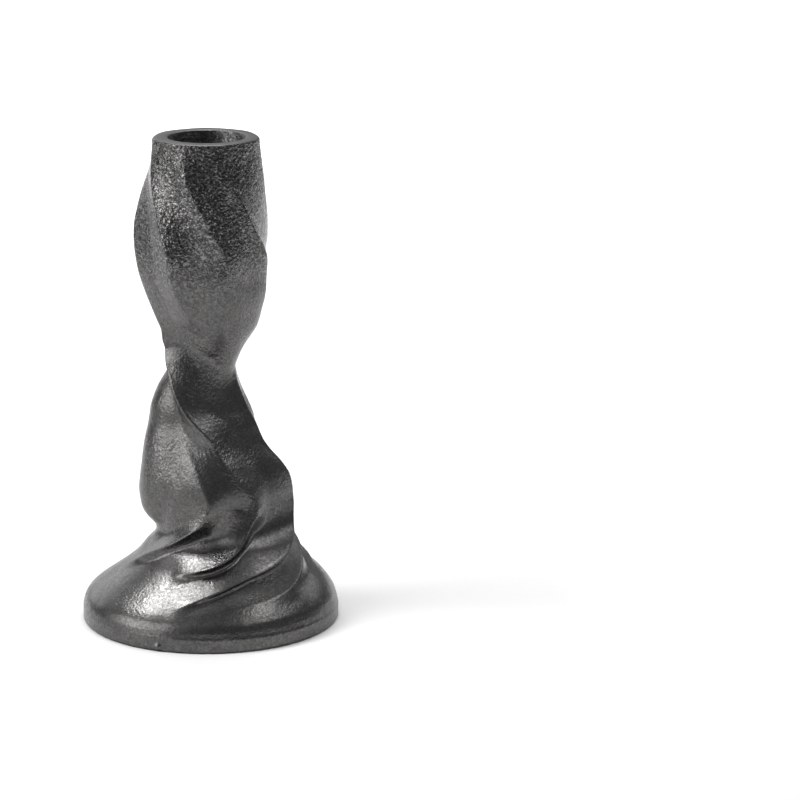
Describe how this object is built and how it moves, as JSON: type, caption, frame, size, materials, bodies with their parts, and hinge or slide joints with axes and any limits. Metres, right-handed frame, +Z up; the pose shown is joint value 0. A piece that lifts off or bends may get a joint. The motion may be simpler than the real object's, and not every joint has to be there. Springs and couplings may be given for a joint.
{
  "type": "spiral candle holder",
  "caption": "Twisted, fluted cast-iron candle holder on a flared round foot, with a blind socket for a dinner candle and a felt-covered underside.",
  "frame": {"origin": "centre of the round foot, on the surface that the holder rests on", "axes": "+Z up along the candle socket's axis; the side seen in the picture looks along -Y, with +X to its right"},
  "size_m": [0.076, 0.076, 0.1445],
  "materials": {
    "casting": "blackened sand-cast metal with a satin sheen and a fine cast grain; the rim's top face is dressed smooth and lighter",
    "felt": "dense black pressed felt",
    "film": "thin translucent pressure-sensitive adhesive film"
  },
  "bodies": {
    "root": {"twisted_casting": "casting", "felt_disc": "felt", "adhesive_film": "film"}
  },
  "joints": []
}
